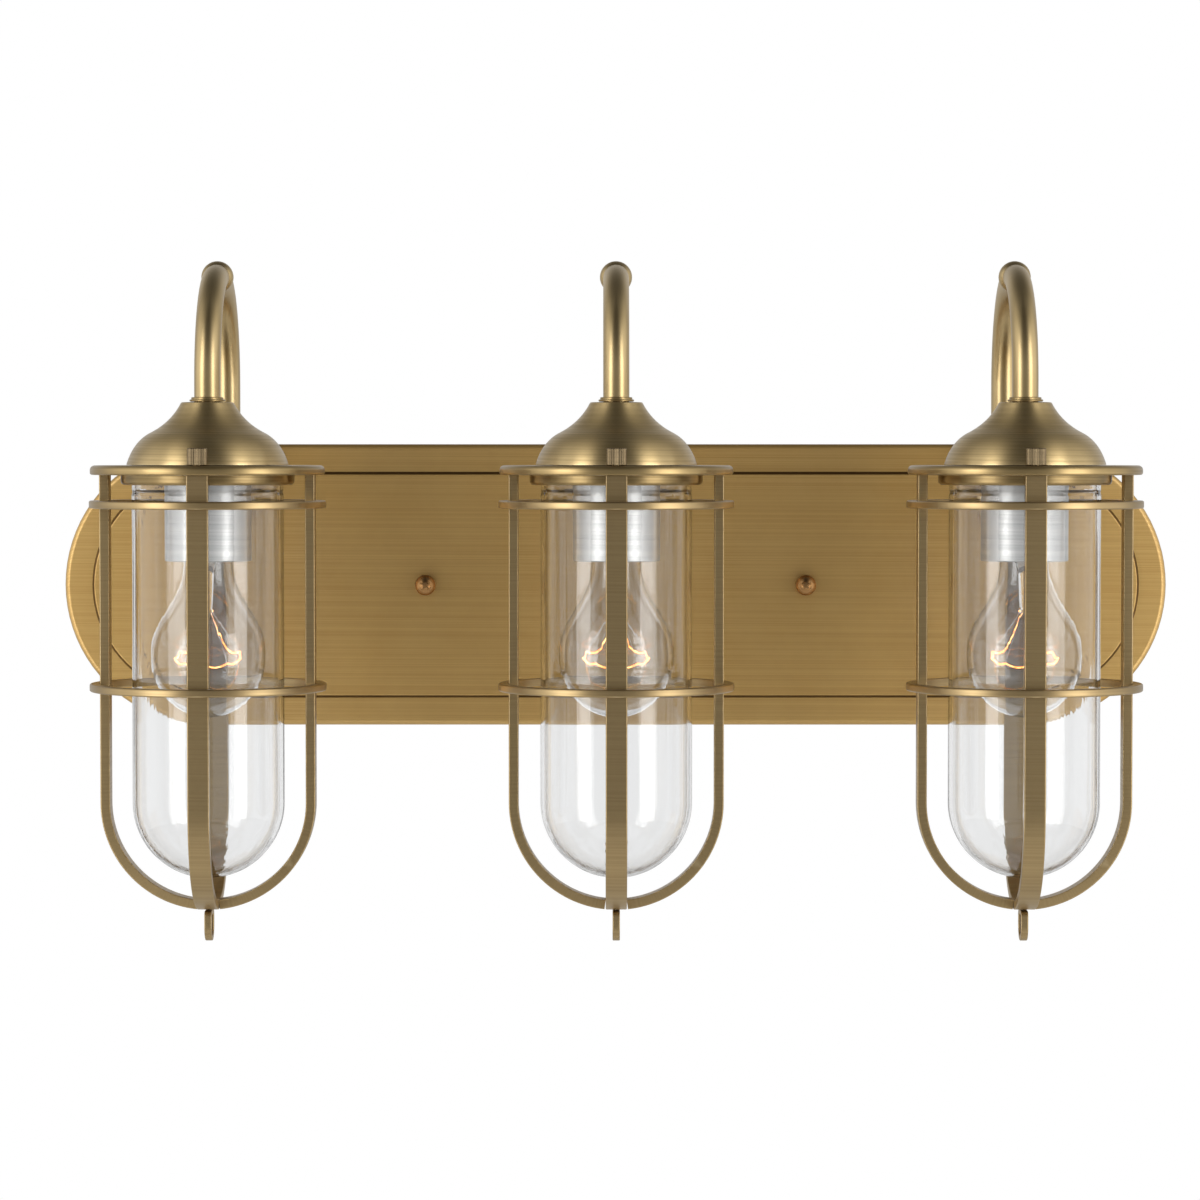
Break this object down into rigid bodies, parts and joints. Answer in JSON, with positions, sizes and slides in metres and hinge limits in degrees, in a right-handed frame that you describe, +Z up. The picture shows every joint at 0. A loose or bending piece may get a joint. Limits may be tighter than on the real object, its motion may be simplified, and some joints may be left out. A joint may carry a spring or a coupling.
{
  "type": "vanity light bar",
  "caption": "Wall light bar: stadium backplate, gooseneck arms with bell caps, and clear glass jars in strap cages.",
  "frame": {"origin": "centre of the backplate's back, on the wall", "axes": "+X along the bar to the viewer's right, +Y into the wall, +Z up; the lamps stand out along -Y"},
  "size_m": [0.609, 0.2143, 0.3557],
  "materials": {
    "aged_brass": "brushed aged brass",
    "dark_bronze": "brushed dark bronze",
    "copper_brass": "polished coppery brass",
    "satin_nickel": "satin nickel",
    "zinc_steel": "zinc plated",
    "green_steel": "green dyed zinc",
    "porcelain": "glazed porcelain",
    "jar_glass": "clear glass",
    "bulb_glass": "clear glass"
  },
  "bodies": {
    "fixture": {"backplate": "aged_brass", "mounting_bar": "zinc_steel", "ground_screw": "green_steel", "left_arm": "aged_brass", "left_arm_collar": "aged_brass", "left_cap_washer": "aged_brass", "left_bell_cap": "aged_brass", "left_shade_holder": "aged_brass", "left_socket_cup": "satin_nickel", "left_socket_core": "porcelain", "centre_arm": "aged_brass", "centre_arm_collar": "aged_brass", "centre_cap_washer": "aged_brass", "centre_bell_cap": "aged_brass", "centre_shade_holder": "aged_brass", "centre_socket_cup": "satin_nickel", "centre_socket_core": "porcelain", "right_arm": "aged_brass", "right_arm_collar": "aged_brass", "right_cap_washer": "aged_brass", "right_bell_cap": "aged_brass", "right_shade_holder": "aged_brass", "right_socket_cup": "satin_nickel", "right_socket_core": "porcelain"},
    "left_cage": {"left_cage_strap": "dark_bronze", "left_cage_side_left": "dark_bronze", "left_cage_side_right": "dark_bronze", "left_cage_ring_upper": "dark_bronze", "left_cage_ring_lower": "dark_bronze", "left_cage_eye": "dark_bronze"},
    "left_jar": {"left_jar": "jar_glass"},
    "left_bulb": {"left_bulb_base": "satin_nickel", "left_bulb_glass": "bulb_glass"},
    "left_thumb_nut_front": {"left_thumb_nut_front": "aged_brass"},
    "left_thumb_nut_back": {"left_thumb_nut_back": "aged_brass"},
    "centre_cage": {"centre_cage_strap": "dark_bronze", "centre_cage_side_left": "dark_bronze", "centre_cage_side_right": "dark_bronze", "centre_cage_ring_upper": "dark_bronze", "centre_cage_ring_lower": "dark_bronze", "centre_cage_eye": "dark_bronze"},
    "centre_jar": {"centre_jar": "jar_glass"},
    "centre_bulb": {"centre_bulb_base": "satin_nickel", "centre_bulb_glass": "bulb_glass"},
    "centre_thumb_nut_front": {"centre_thumb_nut_front": "aged_brass"},
    "centre_thumb_nut_back": {"centre_thumb_nut_back": "aged_brass"},
    "right_cage": {"right_cage_strap": "dark_bronze", "right_cage_side_left": "dark_bronze", "right_cage_side_right": "dark_bronze", "right_cage_ring_upper": "dark_bronze", "right_cage_ring_lower": "dark_bronze", "right_cage_eye": "dark_bronze"},
    "right_jar": {"right_jar": "jar_glass"},
    "right_bulb": {"right_bulb_base": "satin_nickel", "right_bulb_glass": "bulb_glass"},
    "right_thumb_nut_front": {"right_thumb_nut_front": "aged_brass"},
    "right_thumb_nut_back": {"right_thumb_nut_back": "aged_brass"},
    "ball_nut_left": {"ball_nut_left": "copper_brass"},
    "ball_nut_right": {"ball_nut_right": "copper_brass"}
  },
  "joints": [
    {"name": "left_cage_drop", "type": "slide", "parent": "fixture", "child": "left_cage", "axis": [0, 0, -1], "range_m": [0, 0.235]},
    {"name": "left_jar_turn", "type": "hinge", "parent": "fixture", "child": "left_jar", "pos_m": [-0.212, -0.153, 0], "axis": [0, 0, -1], "range_deg": [0, 450]},
    {"name": "left_bulb_turn", "type": "hinge", "parent": "fixture", "child": "left_bulb", "pos_m": [-0.212, -0.153, 0], "axis": [0, 0, -1], "range_deg": [0, 1800]},
    {"name": "left_thumb_nut_front_spin", "type": "hinge", "parent": "fixture", "child": "left_thumb_nut_front", "pos_m": [-0.212, -0.2063, 0.0666], "axis": [0, 0, 1], "continuous": true},
    {"name": "left_thumb_nut_back_spin", "type": "hinge", "parent": "fixture", "child": "left_thumb_nut_back", "pos_m": [-0.212, -0.0997, 0.0666], "axis": [0, 0, 1], "continuous": true},
    {"name": "centre_cage_drop", "type": "slide", "parent": "fixture", "child": "centre_cage", "axis": [0, 0, -1], "range_m": [0, 0.235]},
    {"name": "centre_jar_turn", "type": "hinge", "parent": "fixture", "child": "centre_jar", "pos_m": [0, -0.153, 0], "axis": [0, 0, -1], "range_deg": [0, 450]},
    {"name": "centre_bulb_turn", "type": "hinge", "parent": "fixture", "child": "centre_bulb", "pos_m": [0, -0.153, 0], "axis": [0, 0, -1], "range_deg": [0, 1800]},
    {"name": "centre_thumb_nut_front_spin", "type": "hinge", "parent": "fixture", "child": "centre_thumb_nut_front", "pos_m": [0, -0.2063, 0.0666], "axis": [0, 0, 1], "continuous": true},
    {"name": "centre_thumb_nut_back_spin", "type": "hinge", "parent": "fixture", "child": "centre_thumb_nut_back", "pos_m": [0, -0.0997, 0.0666], "axis": [0, 0, 1], "continuous": true},
    {"name": "right_cage_drop", "type": "slide", "parent": "fixture", "child": "right_cage", "axis": [0, 0, -1], "range_m": [0, 0.235]},
    {"name": "right_jar_turn", "type": "hinge", "parent": "fixture", "child": "right_jar", "pos_m": [0.212, -0.153, 0], "axis": [0, 0, -1], "range_deg": [0, 450]},
    {"name": "right_bulb_turn", "type": "hinge", "parent": "fixture", "child": "right_bulb", "pos_m": [0.212, -0.153, 0], "axis": [0, 0, -1], "range_deg": [0, 1800]},
    {"name": "right_thumb_nut_front_spin", "type": "hinge", "parent": "fixture", "child": "right_thumb_nut_front", "pos_m": [0.212, -0.2063, 0.0666], "axis": [0, 0, 1], "continuous": true},
    {"name": "right_thumb_nut_back_spin", "type": "hinge", "parent": "fixture", "child": "right_thumb_nut_back", "pos_m": [0.212, -0.0997, 0.0666], "axis": [0, 0, 1], "continuous": true},
    {"name": "ball_nut_left_spin", "type": "hinge", "parent": "fixture", "child": "ball_nut_left", "pos_m": [-0.1048, -0.022, 0], "axis": [0, -1, 0], "continuous": true},
    {"name": "ball_nut_right_spin", "type": "hinge", "parent": "fixture", "child": "ball_nut_right", "pos_m": [0.1048, -0.022, 0], "axis": [0, -1, 0], "continuous": true}
  ]
}
